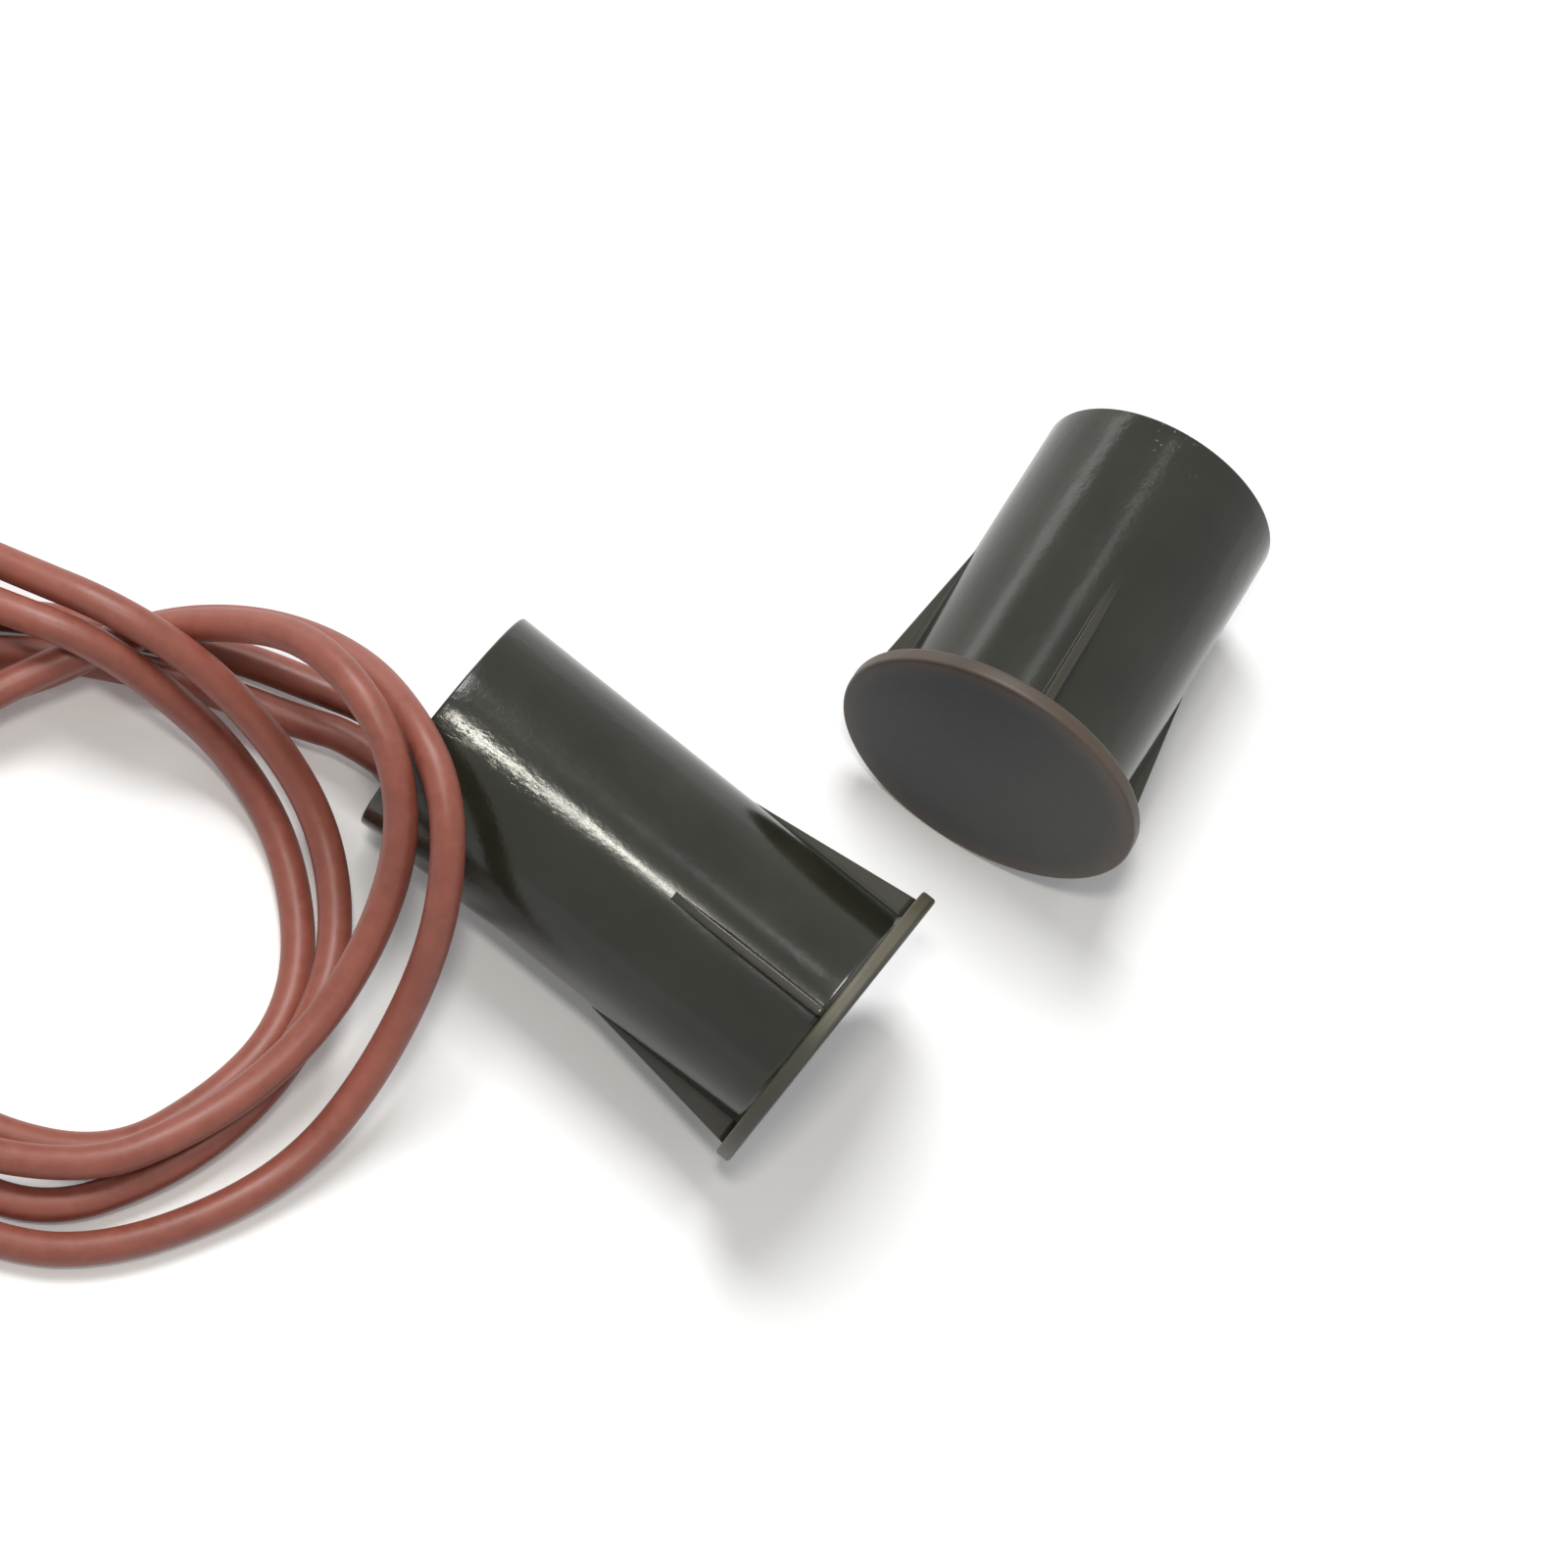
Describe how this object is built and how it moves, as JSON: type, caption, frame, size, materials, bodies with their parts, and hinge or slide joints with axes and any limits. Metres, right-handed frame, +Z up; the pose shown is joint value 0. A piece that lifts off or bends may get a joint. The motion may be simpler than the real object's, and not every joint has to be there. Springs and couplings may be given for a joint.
{
  "type": "recessed magnetic contact",
  "caption": "Press-fit recessed door contact pair: a flanged, ribbed reed switch capsule with free wire leads and a matching flanged magnet capsule.",
  "frame": {"origin": "on the surface that the two halves lie on, under the middle of the box round both halves without their free leads", "axes": "+Z up; +X along the switch half's axis towards its flange, seen from above; +Y from the switch half towards the magnet half"},
  "size_m": [0.1008, 0.1072, 0.024],
  "materials": {
    "housing_plastic": "moulded, fairly glossy",
    "potting_epoxy": "glossy cast epoxy",
    "reed_glass": "clear, faint green",
    "silicone": "matt",
    "plated_metal": "tinned",
    "solder": "satin",
    "heat_shrink": "satin",
    "lead_jacket": "satin vinyl",
    "magnet_metal": "ground"
  },
  "bodies": {
    "root": {"lead_1": "lead_jacket", "lead_1_core": "plated_metal", "lead_1_tip": "plated_metal", "lead_2": "lead_jacket", "lead_2_core": "plated_metal", "lead_2_tip": "plated_metal", "magnet": "magnet_metal", "magnet_housing": "housing_plastic", "magnet_potting": "potting_epoxy", "reed_blade_front": "plated_metal", "reed_blade_rear": "plated_metal", "reed_buffer": "silicone", "reed_glass": "reed_glass", "return_wire": "plated_metal", "sleeve_1": "heat_shrink", "sleeve_2": "heat_shrink", "solder_1": "solder", "solder_2": "solder", "switch_housing": "housing_plastic", "switch_potting": "potting_epoxy"}
  },
  "joints": []
}
